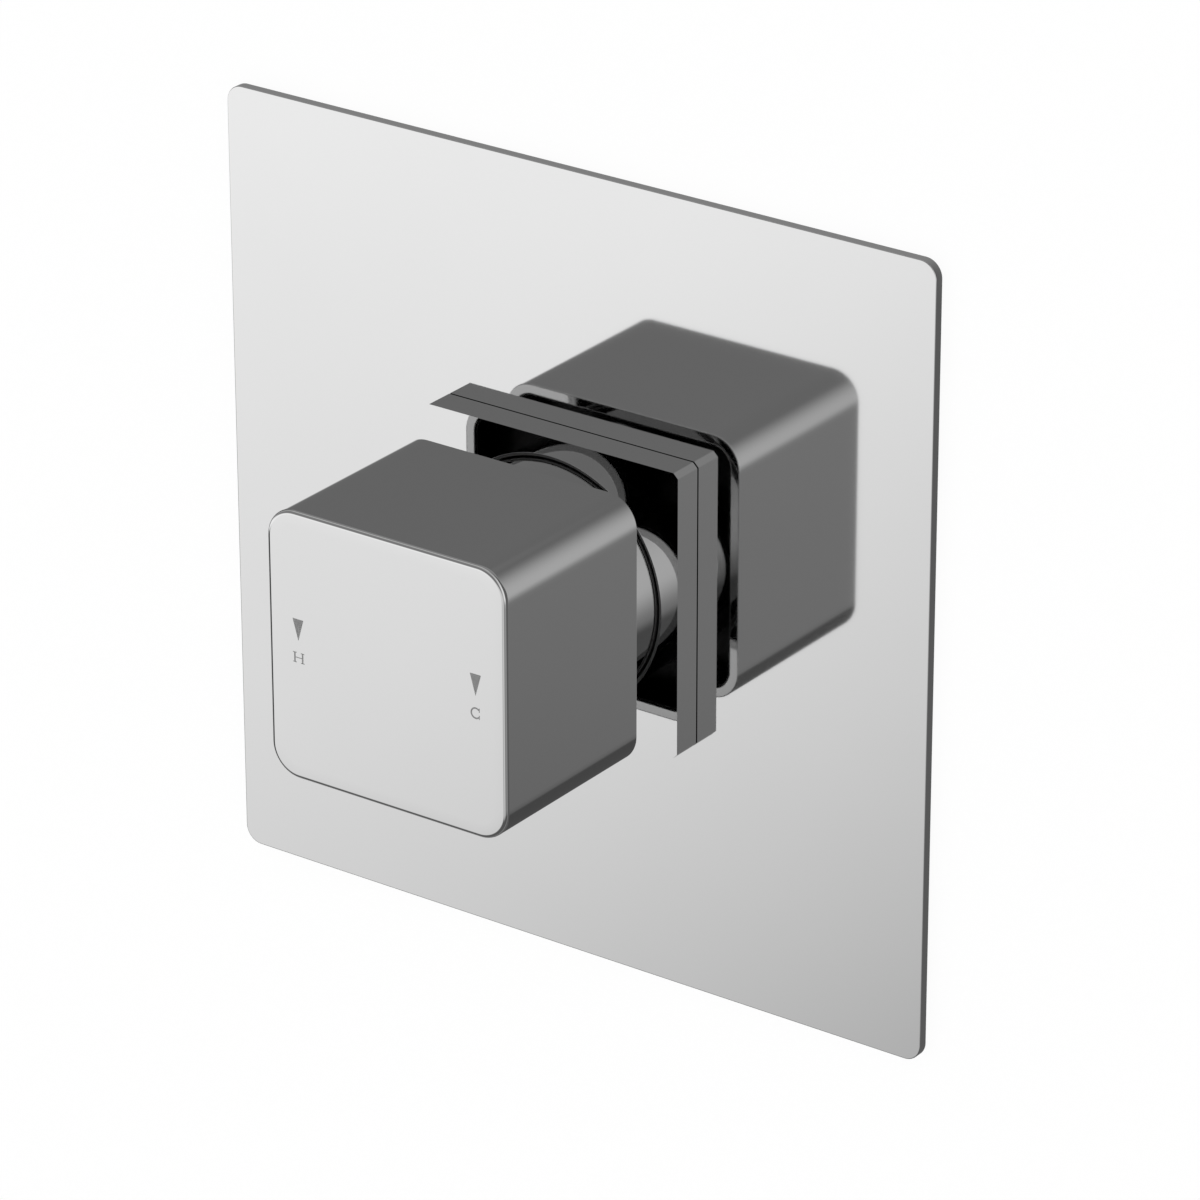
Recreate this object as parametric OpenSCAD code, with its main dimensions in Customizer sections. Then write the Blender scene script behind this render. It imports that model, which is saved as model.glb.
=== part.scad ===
// Concealed thermostatic shower valve with a square wall plate, a square flow
// lever plate and a cube temperature knob on one spindle axis.
// +Z is up and the user stands on the -Y side. The origin is the point where
// the spindle axis meets the finished wall. Lengths are in millimetres.

/* [Wall plate] */
// Width and height of the square wall plate
plate_w = 160; // [130:1:200]
// Thickness of the wall plate
plate_t = 2; // [1.5:0.1:3]
// Radius of the wall plate's corners
plate_corner_r = 3.5; // [1:0.5:8]
// Thickness of the foam seal behind the wall plate, as fitted
seal_t = 1.5; // [1:0.1:3]
// Width of the foam seal's strip
seal_strip_w = 6; // [3:0.5:10]
// Distance from the wall plate's edge to the foam seal
seal_inset = 5; // [2:0.5:10]

/* [Flow lever plate] */
// How far the lever plate reaches past the knob on each side
lever_reveal = 2; // [1:0.5:5]
// Thickness of the lever plate
lever_t = 6.2; // [4.6:0.1:9]
// Radius of the lever plate's corners
lever_corner_r = 1.5; // [0.5:0.5:4]
// Shadow gap between the wall plate and the lever plate
lever_gap = 0.2; // [0.2:0.05:0.8]
// Thickness of the floor at the back of the lever plate's round recess
lever_floor_t = 1.8; // [1.4:0.1:2]
// Width of the dark ring-shaped groove between the neck and the lever plate
neck_groove_w = 0.8; // [0.7:0.1:2.4]

/* [Temperature knob] */
// Width and height of the cube knob
knob_w = 54; // [50:0.5:60]
// Depth of the knob from its hollow back to its face
knob_depth = 40.5; // [36:0.5:50]
// Radius of the knob's long edges
knob_corner_r = 6.2; // [4:0.1:8]
// Wall thickness of the knob's metal shell
knob_wall = 2; // [1.5:0.1:2.5]
// Finger gap between the lever plate and the knob's back
finger_gap = 10; // [7:0.5:16]
// Thickness of the cover that closes the knob's front
face_t = 1; // [0.8:0.1:1.5]
// Length of the spigot that centres the cover in the shell
cover_spigot_l = 1; // [0.6:0.1:1.5]
// Width of the shell's rim around the cover's spigot
cover_rim_w = 1.6; // [1.2:0.1:3]
// Radial room between the neck and the knob's inner walls
neck_room = 0.5; // [0.4:0.1:3]
// Wall thickness of the neck sleeve
neck_wall = 2; // [1.5:0.1:3]

/* [Face marks] */
// Distance of each mark from the spindle axis
mark_x = 20.2; // [14:0.1:21]
// Width of a triangle mark
triangle_w = 2.45; // [1.5:0.05:4]
// Height of a triangle mark
triangle_h = 4.3; // [2:0.1:6]
// Height of the triangles' flat tops above the spindle axis
triangle_top = 5.6; // [3:0.1:9]
// Height of the letters
letter_h = 2.1; // [1.5:0.1:4]
// Gap between a triangle's tip and the letter below it
letter_gap = 2.4; // [0.5:0.1:4]
// Stroke width of the letters
stroke_w = 0.3; // [0.2:0.05:0.5]
// Length of the fine bars that end the letters' strokes
serif_l = 0.8; // [0.4:0.1:1.2]
// Depth of the infilled marks
mark_depth = 0.3; // [0.2:0.05:0.6]

/* [Spindle and sleeve] */
// Radius of the temperature spindle
spindle_r = 5; // [4:0.25:6]
// Radius of the flow sleeve's threaded front end
sleeve_thread_r = 9; // [8.5:0.25:10]
// Radius of the flow sleeve's bearing
sleeve_r = 11; // [10.5:0.25:12]
// Degrees the knob turns from blend to full cold
cold_turn = 180; // [120:5:180]
// Degrees the knob turns from blend to full hot
hot_turn = 90; // [60:5:90]
// Axial travel of the adjusting nut for one turn of the knob
screw_lead = 4; // [2:0.5:5]

/* [Cartridge] */
// Radius of the cartridge
cartridge_r = 17.5; // [17:0.5:20]
// Thickness of each ceramic disc
disc_t = 3.5; // [2.5:0.5:5]
// Length of the shuttle that meters hot and cold water
shuttle_l = 8.4; // [7:0.2:10]
// Length of the chamber that the shuttle moves in
chamber_l = 25; // [23:0.5:30]
// Opening left at each of the shuttle's ends when it is centred
shuttle_open = 1.3; // [0.8:0.1:1.5]

/* [Valve body] */
// Depth of the valve body's front face behind the finished wall
valve_recess = 4; // [4:0.5:12]
// Radius of the valve body's barrel
barrel_r = 29; // [29:0.5:34]
// Distance from the spindle axis to each inlet's face
arm_reach = 58; // [56:1:75]
// Distance from the spindle axis to the outlet's face
outlet_reach = 52; // [48:1:65]
// Radius of the inlet and outlet arms
arm_r = 15; // [13.5:0.5:17]
// Bore of the half inch pipe threads
pipe_bore_r = 9.3; // [9:0.1:9.6]
// Free thread depth in front of each inlet filter
pipe_thread_l = 15; // [12:0.5:18]

/* [Mounting bracket] */
// Distance from the bracket's ends to its screw holes
bracket_end_w = 9; // [7:0.5:16]
// Distance from the bracket's long edges to its screw holes
bracket_edge_w = 8; // [6:0.5:14]
// Thickness of the bracket
bracket_t = 2.5; // [2:0.1:4]
// Distance between the bracket's screw holes, left to right
hole_spacing_x = 112; // [90:1:116]
// Distance between the bracket's screw holes, top to bottom
hole_spacing_z = 24; // [18:1:28]
// Radius of the bracket's screw holes
bracket_hole_r = 2.75; // [2:0.25:3.5]

/* [Hidden] */
$fn = 96;

// Overrun of every cut
cut = 1;
// Radial clearance of a running fit
fit = 0.05;
// Clearance between parts that must not touch
play = 0.3;

// Places along Y of the visible trim, front faces having the lower value
plate_back = -seal_t;
plate_front = plate_back - plate_t;
lever_back = plate_front - lever_gap;
lever_front = lever_back - lever_t;
lever_floor = lever_back - lever_floor_t;
knob_back = lever_front - finger_gap;
knob_front = knob_back - knob_depth;
face_back = knob_front + face_t;
cover_back = face_back + cover_spigot_l;
web_t = 2;
web_back = cover_back + web_t;

// Knob, neck and lever plate
lever_w = knob_w + 2 * lever_reveal;
knob_inner_w = knob_w - 2 * knob_wall;
knob_inner_r = knob_corner_r - knob_wall;
neck_r = knob_inner_w / 2 - neck_room;
neck_bore_r = neck_r - neck_wall;
neck_back = lever_floor - 2 * play;
lever_hole_r = neck_r + neck_groove_w;
glide_t = 0.25;
glide_proud = 0.05;
glide_inset = 0.7;
glide_r = lever_w / 2 - glide_inset;
glide_back = lever_back + glide_proud;
wiper_room = 0.25;
wiper_setback = 0.1;
wiper_recess = 0.15;
cover_well_w = knob_w - 2 * cover_rim_w;
cover_well_r = knob_corner_r - cover_rim_w;

// Thickness of the fine bars in the letters
serif_w = 0.15;

// Black insert that lines the knob and holds the spindle adaptor
insert_room = 0.1;
insert_wall = 1.5;
insert_recess = 6.5;
insert_floor_t = 3;
insert_skirt_t = 0.3;
skirt_setback = 0.5;
insert_back = knob_back - insert_recess;
neck_lip = 1;
neck_front = insert_back - insert_floor_t - neck_lip;
boss_r = 11;
boss_front_t = 2.3;
boss_back = insert_back - insert_floor_t;
adaptor_r = 8;
adaptor_front = web_back + insert_floor_t + boss_front_t;
adaptor_l = 15;
spindle_setback = 1;
spindle_front = adaptor_front + spindle_setback;
screw_r = 2.5;
screw_l = 14;
screw_head_r = 4.6;
screw_head_t = 2.3;
screw_access_r = 6;

// Flow sleeve, lever nut and cartridge nut
lever_nut_t = 4;
lever_nut_w = 5;
sleeve_proud = 1;
sleeve_front = lever_floor - lever_nut_t - sleeve_proud;
spindle_relief = 0.6;
sleeve_bore_r = spindle_r + spindle_relief;
sleeve_land_l = 5;
sleeve_flange_t = 2;
nut_proud = 5;
nut_engage = 5;
nut_ledge = 1.5;
nut_r = cartridge_r + nut_ledge;
nut_bore_drop = 2;
nut_bore_r = (nut_r + sleeve_r) / 2 - nut_bore_drop;
nut_slot_w = 4;
nut_slot_depth = 2;
valve_front = valve_recess;

// Shroud sleeve that carries the wall plate
nut_room = 0.4;
shroud_bore_r = nut_r + nut_room;
shroud_wall = 1.6;
shroud_r = shroud_bore_r + shroud_wall;
grip_t = 0.9;
grip_flange_w = 3;
plate_hole_r = shroud_r + grip_t + fit;
shroud_setback = 0.1;
shroud_front = plate_front + shroud_setback;
shroud_web_t = 2.9;
shroud_skirt_l = 7;
shroud_skirt_t = 2.4;
body_neck_wall = 4;
body_neck_r = nut_r + body_neck_wall;
body_neck_l = 8;
skirt_r = body_neck_r + fit + shroud_skirt_t;

// Places along Y inside the cartridge, from front to back
flange_t = 3;
flange_r = nut_r - nut_room;
head_front = valve_front + nut_engage;
flange_back = head_front + flange_t;
sleeve_flange_front = flange_back + fit;
moving_front = sleeve_flange_front + sleeve_flange_t;
fixed_front = moving_front + disc_t + fit;
fixed_back = fixed_front + disc_t;
gasket_t = 0.8;
body_front = fixed_back + gasket_t;
spigot_l = 3;
head_back = body_front + spigot_l;
head_wall = 2.1;
disc_room_r = cartridge_r - head_wall;
disc_r = disc_room_r - 2 * fit;
disc_bore_room = 2;
disc_bore_r = spindle_r + disc_bore_room;

// Discs' water passages
port_inner_land = 2.2;
port_outer_land = 1.8;
port_in_r = disc_bore_r + port_inner_land;
port_out_r = disc_r - port_outer_land;
port_angle = 76;
drive_lug_w = 3;
drive_lug_l = 1.4;
window_w = 8;
window_l = 3.2;

// Spindle bell, its stop lug and the adjusting nut
bell_step = 3;
bell_r = spindle_r + bell_step;
bell_web_t = 2;
bell_bore_step = 0.5;
bell_bore_r = spindle_r + bell_bore_step;
end_margin = 1.5;
adjust_nut_l = 6;
cold_travel = screw_lead * cold_turn / 360;
hot_travel = screw_lead * hot_turn / 360;
bell_front = body_front + 2 * fit;
bell_l = bell_web_t + adjust_nut_l + cold_travel + hot_travel + 2 * end_margin;
bell_back = bell_front + bell_l;
stop_lug_l = 3;
stop_room_l = stop_lug_l + play + 2 * fit;
stop_lug_h = 1.6;
stop_lug_r = bell_r + stop_lug_h;
stop_room_r = stop_lug_r + play;
stop_slack = 1;
stop_angle = (360 - cold_turn - hot_turn) / 2 - stop_slack;
adjust_nut_front = bell_front + bell_web_t + end_margin + cold_travel;
adjust_nut_back = adjust_nut_front + adjust_nut_l;
guide_front = bell_back + play;
guide_t = 3.7;
guide_back = guide_front + guide_t;
stem_w = 7.5;
stem_out = 1;
stem_back = guide_back + stem_out;
stem_bore_r = 3;
stem_floor_t = 2;
stem_bore_front = adjust_nut_front + stem_floor_t;
overload_l = 7;
spring_room = 0.2;
cap_t = 2.2;

// Wax element and shuttle
shuttle_share = 0.3;
piston_r = 1.25;
element_front = stem_back + hot_travel * (1 - shuttle_share) + play;
element_floor_t = 1;
element_neck_r = 3;
element_flange_r = 6.5;
element_flange_t = 3;
capsule_r = 4.5;
capsule_gap = 1;
piston_tip_gap = hot_travel * (1 - shuttle_share) + 2 * play;
chamber_wall = 4.5;
chamber_r = cartridge_r - chamber_wall;
shuttle_place = 11;
shuttle_centre = guide_back + shuttle_place;
shuttle_front = shuttle_centre - shuttle_l / 2;
shuttle_back = shuttle_centre + shuttle_l / 2;
shuttle_wall = 2;
shuttle_web_t = 2;
shuttle_web_front = shuttle_centre - shuttle_web_t / 2;
slot_l = 2;
slot_w = 5;
slot_count = 8;
base_front = guide_back + chamber_l;
base_t = 4;
base_spigot_l = 2;
base_back = base_front + base_t;
hot_port_y = shuttle_front - shuttle_open + slot_l / 2;
cold_port_y = shuttle_back + shuttle_open - slot_l / 2;

// O-rings on the cartridge, the spindle and the shuttle
oring_r = 0.9;
small_oring_r = 0.65;
groove_room = 0.1;
front_oring_step = 4;
back_oring_step = 6.5;
oring_places = [bell_back - front_oring_step, shuttle_centre, cold_port_y + back_oring_step];
spindle_oring_gap = 4;
spindle_oring_front = valve_front - nut_proud;
spindle_oring_places = [spindle_oring_front, spindle_oring_front + spindle_oring_gap];

// Valve body
body_floor_t = 6;
valve_back = base_back + body_floor_t;
cavity_r = cartridge_r + fit;
arm_y = shuttle_centre;
housing_l = 12;
filter_t = 2;
port_floor_x = arm_reach - pipe_thread_l - filter_t - housing_l;
cross_bore_r = 3.5;
outlet_sink = 5;
outlet_floor_z = barrel_r - outlet_sink;
drill_shift = 0.8;
drill_z = (barrel_r + cavity_r) / 2 - drill_shift;
drill_step = 2;
drill_front = moving_front + drill_step;
plug_l = 12;
plug_head_r = 13;
plug_head_t = 4;
plug_washer_t = 1;
plug_washer_inset = 1;
plug_key_r = 5;
plug_key_depth = 6;
arm_hex_step = 2.3;
arm_hex_r = arm_r + arm_hex_step;
arm_hex_l = 10;

// Check valves
pocket_step = 0.3;
pocket_r = pipe_bore_r - pocket_step;
housing_r = pocket_r - fit;
housing_wall = 2.2;
seat_t = 2;
seat_r = 5;
poppet_r = 6.3;
poppet_t = 2;
poppet_stem_r = 1.5;
poppet_travel = 2.5;
spider_t = 2;
spider_inset = 2;
spider_x = port_floor_x + spider_inset;
spider_hole_r = 1.6;
spider_hole_place = 4.2;
spider_hole_count = 6;
check_wire_r = 0.25;
check_coil_r = 2.6;
check_turns = 4;
mesh_t = 0.6;
mesh_hole_r = 0.7;
mesh_ring_w = 1.4;
mesh_pitch = 2.1;
mesh_rows = 3;

// Bracket screws
bracket_back = valve_back + bracket_t;
bracket_screw_x = 18;
bracket_screw_r = 2;
bracket_screw_l = 5;
bracket_head_r = 3.8;
bracket_head_t = 1.9;
bracket_corner_r = 4;
bracket_w = hole_spacing_x + 2 * bracket_end_w;
bracket_h = hole_spacing_z + 2 * bracket_edge_w;

// Solid cylinder along Y from a to b
module rod(a, b, r) {
    translate([0, a, 0]) rotate([-90, 0, 0]) cylinder(h = b - a, r = r);
}

// Ring along Y from a to b
module ring(a, b, outer_r, inner_r) {
    difference() {
        rod(a, b, outer_r);
        rod(a - cut, b + cut, inner_r);
    }
}

// Solid cylinder along X from a to b
module rod_x(a, b, r) {
    translate([a, 0, 0]) rotate([0, 90, 0]) cylinder(h = b - a, r = r);
}

// Flat shape seen from the front, given thickness along Y from a to b
module slab(a, b) {
    translate([0, b, 0]) rotate([90, 0, 0]) linear_extrude(height = b - a) children();
}

module rounded_square(w, r) {
    square([w, w - 2 * r], center = true);
    square([w - 2 * r, w], center = true);
    for (x = [-1, 1], z = [-1, 1])
        translate([x * (w / 2 - r), z * (w / 2 - r)]) circle(r = r);
}

// Wedge that holds the angles within half_angle of mid_angle, out to radius r
module wedge(mid_angle, half_angle, r) {
    reach = r / cos(half_angle);
    rotate(mid_angle) polygon([[0, 0],
        [reach * cos(half_angle), reach * sin(half_angle)],
        [reach * cos(half_angle), -reach * sin(half_angle)]]);
}

// Part of a flat ring between two radii, up to 60 degrees each way
module ring_part(mid_angle, half_angle, outer_r, inner_r) {
    intersection() {
        difference() {
            circle(r = outer_r);
            circle(r = inner_r);
        }
        wedge(mid_angle, half_angle, outer_r);
    }
}

// O-ring around the Y axis
module o_ring(y, centre_r, wire_r) {
    translate([0, y, 0]) rotate([90, 0, 0])
        rotate_extrude() translate([centre_r, 0]) circle(r = wire_r, $fn = 24);
}

// Coil spring that stands along +Z from zero
function coil_point(angle, side_angle, coil_r, wire_r, z) = [
    (coil_r + wire_r * cos(side_angle)) * cos(angle),
    (coil_r + wire_r * cos(side_angle)) * sin(angle),
    z + wire_r * sin(side_angle)];

module coil(length, coil_r, wire_r, turns) {
    sides = 6;
    steps = 8;
    count = turns * steps;
    rise = length - 2 * wire_r;
    points = [for (i = [0 : count], j = [0 : sides - 1])
        coil_point(360 * i / steps, 360 * j / sides, coil_r, wire_r,
            wire_r + rise * i / count)];
    walls = [for (i = [0 : count - 1], j = [0 : sides - 1], half = [0, 1])
        let (a = i * sides + j, b = i * sides + (j + 1) % sides)
        half == 0 ? [a, b, b + sides] : [a, b + sides, a + sides]];
    start_cap = [for (j = [1 : sides - 2]) [0, j + 1, j]];
    last = count * sides;
    end_cap = [for (j = [1 : sides - 2]) [last, last + j, last + j + 1]];
    polyhedron(points = points, faces = concat(walls, start_cap, end_cap));
}

// Fixed trim on the wall
module wall_plate() {
    color("gainsboro") difference() {
        slab(plate_front, plate_back) rounded_square(plate_w, plate_corner_r);
        rod(plate_front - cut, plate_back + cut, plate_hole_r);
    }
}

module plate_seal() {
    outer_w = plate_w - 2 * seal_inset;
    color("dimgray") slab(plate_back, 0) difference() {
        rounded_square(outer_w, plate_corner_r);
        rounded_square(outer_w - 2 * seal_strip_w, plate_corner_r);
    }
}

module plate_grip_ring() {
    color("black") difference() {
        union() {
            rod(plate_front + play, -fit, shroud_r + grip_t);
            rod(plate_back + fit, -fit, shroud_r + grip_t + grip_flange_w);
        }
        rod(plate_front - cut, cut, shroud_r);
    }
}

module shroud_sleeve() {
    web_front = valve_front - fit - shroud_web_t;
    color("silver") difference() {
        union() {
            rod(shroud_front, web_front + cut, shroud_r);
            rod(web_front, valve_front + shroud_skirt_l, skirt_r);
        }
        rod(shroud_front - cut, valve_front + cut, shroud_bore_r);
        rod(valve_front - fit, valve_front + shroud_skirt_l + cut, body_neck_r + fit);
    }
}

// Brass body in the wall
module arm_x(side) {
    mirror([side < 0 ? 1 : 0, 0, 0]) translate([0, arm_y, 0]) {
        rod_x(0, arm_reach, arm_r);
        translate([arm_reach - arm_hex_l, 0, 0]) rotate([0, 90, 0])
            cylinder(h = arm_hex_l, r = arm_hex_r, $fn = 6);
    }
}

module arm_z(side) {
    mirror([0, 0, side < 0 ? 1 : 0]) translate([0, arm_y, 0]) {
        cylinder(h = outlet_reach, r = arm_r);
        translate([0, 0, outlet_reach - arm_hex_l])
            cylinder(h = arm_hex_l, r = arm_hex_r, $fn = 6);
    }
}

module inlet_bore(side, cross_y) {
    mirror([side < 0 ? 1 : 0, 0, 0]) {
        translate([0, arm_y, 0]) {
            rod_x(arm_reach - pipe_thread_l, arm_reach + cut, pipe_bore_r);
            rod_x(port_floor_x, arm_reach, pocket_r);
        }
        translate([0, cross_y, 0]) rod_x(0, port_floor_x + cut, cross_bore_r);
    }
}

module outlet_bore(side) {
    mirror([0, 0, side < 0 ? 1 : 0]) {
        translate([0, arm_y, outlet_floor_z])
            cylinder(h = outlet_reach - outlet_floor_z + cut, r = pipe_bore_r);
        translate([0, 0, drill_z]) rod(drill_front, arm_y, cross_bore_r);
        translate([0, drill_front, 0]) cylinder(h = drill_z, r = cross_bore_r);
    }
}

module valve_body() {
    color("goldenrod") difference() {
        union() {
            rod(valve_front, valve_front + body_neck_l + cut, body_neck_r);
            rod(valve_front + body_neck_l, valve_back, barrel_r);
            for (side = [-1, 1]) {
                arm_x(side);
                arm_z(side);
            }
        }
        rod(valve_front - cut, flange_back + fit, nut_r + fit);
        rod(valve_front, base_back + fit, cavity_r);
        inlet_bore(-1, hot_port_y);
        inlet_bore(1, cold_port_y);
        outlet_bore(1);
        outlet_bore(-1);
        for (x = [-1, 1]) translate([x * bracket_screw_x, 0, 0])
            rod(valve_back - bracket_screw_l, valve_back + cut, bracket_screw_r + fit);
    }
}

module mounting_bracket() {
    color("lightsteelblue") difference() {
        slab(valve_back, bracket_back) {
            square([bracket_w, bracket_h - 2 * bracket_corner_r], center = true);
            square([bracket_w - 2 * bracket_corner_r, bracket_h], center = true);
            for (x = [-1, 1], z = [-1, 1])
                translate([x * (bracket_w / 2 - bracket_corner_r),
                    z * (bracket_h / 2 - bracket_corner_r)]) circle(r = bracket_corner_r);
        }
        for (x = [-1, 1], z = [-1, 1])
            translate([x * hole_spacing_x / 2, 0, z * hole_spacing_z / 2])
                rod(valve_back - cut, bracket_back + cut, bracket_hole_r);
        for (x = [-1, 1]) translate([x * bracket_screw_x, 0, 0]) {
            rod(valve_back - cut, bracket_back + cut, bracket_screw_r + fit);
            rod(bracket_back - bracket_head_t - fit, bracket_back + cut, bracket_head_r + fit);
        }
    }
}

module bracket_screws() {
    color("gray") for (x = [-1, 1]) translate([x * bracket_screw_x, 0, 0]) difference() {
        union() {
            rod(valve_back - bracket_screw_l + play, bracket_back - fit, bracket_screw_r);
            rod(bracket_back - bracket_head_t, bracket_back - fit, bracket_head_r);
        }
        translate([0, bracket_back - bracket_head_t / 2, 0]) rotate([-90, 0, 0])
            cylinder(h = bracket_head_t, r = bracket_screw_r, $fn = 6);
    }
}

module outlet_plug() {
    color("goldenrod") translate([0, arm_y, -outlet_reach]) difference() {
        union() {
            cylinder(h = plug_l, r = pipe_bore_r - fit);
            translate([0, 0, -plug_washer_t - plug_head_t])
                cylinder(h = plug_head_t, r = plug_head_r, $fn = 6);
            translate([0, 0, -plug_washer_t - cut])
                cylinder(h = plug_washer_t + 2 * cut, r = pipe_bore_r - fit);
        }
        translate([0, 0, -plug_washer_t - plug_head_t - cut])
            cylinder(h = plug_key_depth + cut, r = plug_key_r, $fn = 6);
    }
}

module plug_washer() {
    color("firebrick") translate([0, arm_y, -outlet_reach - plug_washer_t]) difference() {
        cylinder(h = plug_washer_t, r = plug_head_r - plug_washer_inset);
        translate([0, 0, -cut]) cylinder(h = plug_washer_t + 2 * cut, r = pipe_bore_r);
    }
}

// Cartridge
module cartridge_nut() {
    color("goldenrod") difference() {
        rod(valve_front - nut_proud, head_front, nut_r);
        rod(valve_front - nut_proud - cut, head_front + cut, nut_bore_r);
        for (turn = [0, 90]) rotate([0, turn, 0])
            translate([-nut_r - cut, valve_front - nut_proud - cut, -nut_slot_w / 2])
                cube([2 * (nut_r + cut), nut_slot_depth + cut, nut_slot_w]);
    }
}

module cartridge_head() {
    window_front = moving_front - window_l / 2;
    color("khaki") difference() {
        union() {
            rod(head_front, flange_back, flange_r);
            rod(head_front + cut, head_back, cartridge_r);
        }
        rod(head_front - cut, flange_back + cut, sleeve_r + fit);
        rod(flange_back, head_back + cut, disc_room_r);
        for (turn = [0, 90]) rotate([0, turn, 0])
            translate([-cartridge_r - cut, window_front, -window_w / 2])
                cube([2 * (cartridge_r + cut), window_l, window_w]);
    }
}

module slots(front) {
    for (i = [0 : slot_count - 1]) rotate([0, 360 * (i + 0.5) / slot_count, 0])
        translate([chamber_r - cut, front, -slot_w / 2])
            cube([cartridge_r - chamber_r + 2 * cut, slot_l, slot_w]);
}

module oring_groove(y) {
    ring(y - oring_r - groove_room, y + oring_r + groove_room, cartridge_r + cut,
        cartridge_r - 2 * oring_r - groove_room);
}

module cartridge_body() {
    color("khaki") difference() {
        union() {
            rod(body_front, head_back, disc_room_r - fit);
            rod(head_back, base_front, cartridge_r);
        }
        rod(body_front - cut, body_front + stop_room_l, stop_room_r);
        rod(body_front, guide_front, bell_r + fit);
        slab(guide_front - cut, guide_back + cut)
            square(stem_w + 4 * fit, center = true);
        rod(guide_back, base_front + cut, chamber_r);
        slots(shuttle_front - shuttle_open);
        slots(shuttle_back + shuttle_open - slot_l);
        for (y = oring_places) oring_groove(y);
        for (side = [-1, 1], turn = [-1, 0, 1])
            rotate([0, turn * port_angle / 3, 0])
                translate([0, 0, side * (port_in_r + port_out_r + fit) / 2])
                    rod(body_front - cut, guide_back + cut, (port_out_r - port_in_r) / 2);
    }
    color("khaki") slab(body_front, body_front + stop_room_l)
        ring_part(stop_key_angle, stop_angle / 2, stop_room_r + cut, bell_r + fit);
}

// The key stands where the lug stops at both ends of the knob's turn
stop_key_angle = 270 + (hot_turn - cold_turn) / 2;

module cartridge_base() {
    color("khaki") union() {
        rod(base_front, base_back, cartridge_r - fit);
        rod(base_front - base_spigot_l, base_front + cut, chamber_r - spring_room);
    }
}

module cartridge_o_rings() {
    color("black") for (y = oring_places) o_ring(y, cartridge_r - oring_r, oring_r);
}

module disc_ports(mid_angles) {
    for (a = mid_angles) ring_part(a, port_angle / 2, port_out_r, port_in_r);
}

module fixed_disc() {
    color("white") slab(fixed_front, fixed_back) difference() {
        circle(r = disc_r);
        circle(r = disc_bore_r);
        disc_ports([90, 270]);
    }
}

module disc_gasket() {
    color("black") ring(fixed_back, body_front, disc_r, port_out_r + play);
}

module thrust_washer() {
    color("white") ring(fixed_back + fit, bell_front - fit, disc_bore_r, spindle_r + fit);
}

module return_spring() {
    wire_r = 0.6;
    turns = 6;
    front = shuttle_web_front + shuttle_web_t + spring_room;
    back = base_front - base_spigot_l - spring_room;
    color("silver") translate([0, front, 0]) rotate([-90, 0, 0])
        coil(back - front, (chamber_r - shuttle_wall + capsule_r) / 2, wire_r, turns);
}

// Inlet check valves, drawn on the +X side and mirrored for the hot side
module on_side(side) {
    mirror([side < 0 ? 1 : 0, 0, 0]) translate([0, arm_y, 0]) children();
}

module check_housing() {
    housing_end = port_floor_x + housing_l;
    difference() {
        rod_x(port_floor_x, housing_end, housing_r);
        rod_x(port_floor_x - cut, spider_x, housing_r - housing_wall);
        rod_x(spider_x + spider_t, housing_end - seat_t, housing_r - housing_wall);
        rod_x(housing_end - seat_t - cut, housing_end + cut, seat_r);
        rod_x(spider_x - cut, spider_x + spider_t + cut, poppet_stem_r + fit);
        for (i = [1 : spider_hole_count]) rotate([360 * i / spider_hole_count, 0, 0])
            translate([0, 0, spider_hole_place])
                rod_x(spider_x - cut, spider_x + spider_t + cut, spider_hole_r);
    }
}

module check_poppet() {
    face = port_floor_x + housing_l - seat_t - 2 * fit;
    tip = port_floor_x + poppet_travel + play;
    rod_x(face - poppet_t, face, poppet_r);
    rod_x(tip, face - poppet_t / 2, poppet_stem_r);
}

module check_spring() {
    front = spider_x + spider_t + fit;
    back = port_floor_x + housing_l - seat_t - poppet_t - 3 * fit;
    translate([front, 0, 0]) rotate([0, 90, 0])
        coil(back - front, check_coil_r, check_wire_r, check_turns);
}

module inlet_filter() {
    front = port_floor_x + housing_l;
    difference() {
        rod_x(front, front + filter_t, housing_r);
        rod_x(front + mesh_t, front + filter_t + cut, housing_r - mesh_ring_w);
        for (row = [1 : mesh_rows], i = [0 : 6 * row - 1]) rotate([60 * i / row, 0, 0])
            translate([0, 0, row * mesh_pitch])
                rod_x(front - cut, front + mesh_t + cut, mesh_hole_r);
    }
}

module hot_check_housing() { color("whitesmoke") on_side(-1) check_housing(); }
module cold_check_housing() { color("whitesmoke") on_side(1) check_housing(); }
module hot_filter() { color("silver") on_side(-1) inlet_filter(); }
module cold_filter() { color("silver") on_side(1) inlet_filter(); }
module hot_check_poppet() { color("crimson") on_side(-1) check_poppet(); }
module cold_check_poppet() { color("steelblue") on_side(1) check_poppet(); }
module hot_check_spring() { color("silver") on_side(-1) check_spring(); }
module cold_check_spring() { color("silver") on_side(1) check_spring(); }

// Flow control
module flow_lever_plate() {
    color("lightgray") difference() {
        slab(lever_front, lever_back) rounded_square(lever_w, lever_corner_r);
        rod(lever_front - cut, lever_floor, lever_hole_r);
        rod(lever_floor - cut, lever_back + cut, sleeve_thread_r + fit);
        ring(glide_back - glide_t, lever_back + cut, glide_r + fit, sleeve_r + play - fit);
    }
}

module glide_disc() {
    color("gainsboro") ring(glide_back - glide_t, glide_back, glide_r, sleeve_r + play);
}

module neck_wiper_ring() {
    color("dimgray") ring(lever_front + wiper_recess, lever_floor,
        lever_hole_r - wiper_setback, neck_r + wiper_room);
}

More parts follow.
